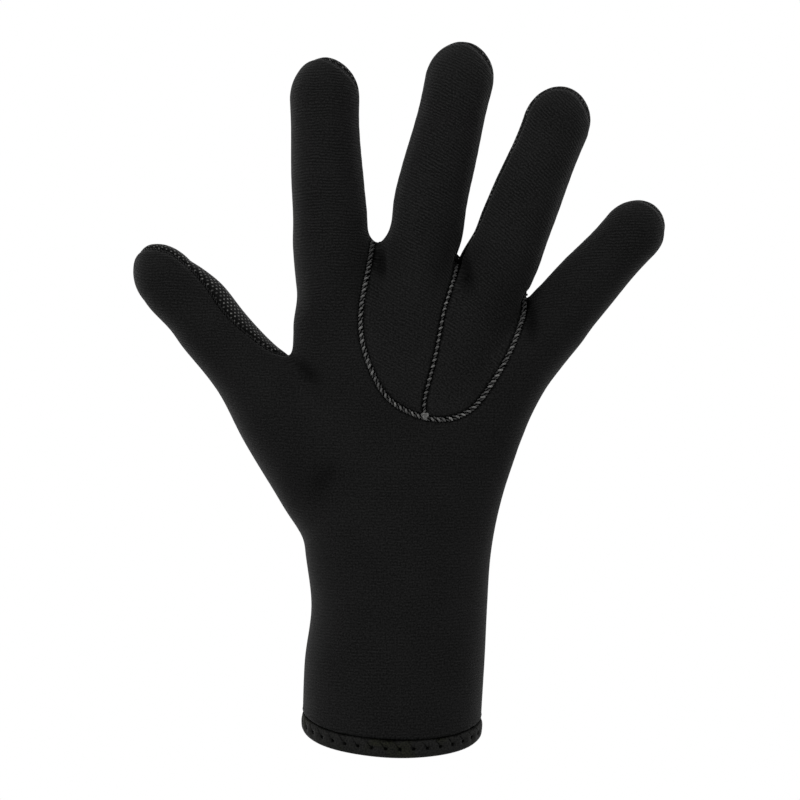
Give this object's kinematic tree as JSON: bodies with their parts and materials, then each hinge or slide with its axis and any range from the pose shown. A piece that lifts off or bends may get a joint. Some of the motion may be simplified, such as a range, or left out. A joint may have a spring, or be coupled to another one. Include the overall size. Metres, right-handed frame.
{
  "type": "neoprene glove",
  "caption": "Five-finger neoprene glove for the right hand with a tongue-shaped knuckle inset, grip palm and folded hem at an open cuff.",
  "frame": {"origin": "middle of the cuff's opening, where the wrist goes in", "axes": "+Z from the cuff to the fingertips, +X towards the little finger, +Y towards the palm side"},
  "size_m": [0.2046, 0.0517, 0.2685],
  "materials": {
    "neoprene_knit": "black ribbed nylon knit laminated to neoprene",
    "grip_neoprene": "black printed grip mesh on neoprene",
    "hem_neoprene": "black nylon-faced neoprene, folded and blind-stitched"
  },
  "bodies": {
    "root": {"back_panel": "neoprene_knit", "middle_finger_back": "neoprene_knit", "ring_finger_back": "neoprene_knit", "palm_panel": "grip_neoprene", "cuff_hem": "hem_neoprene"}
  },
  "joints": []
}
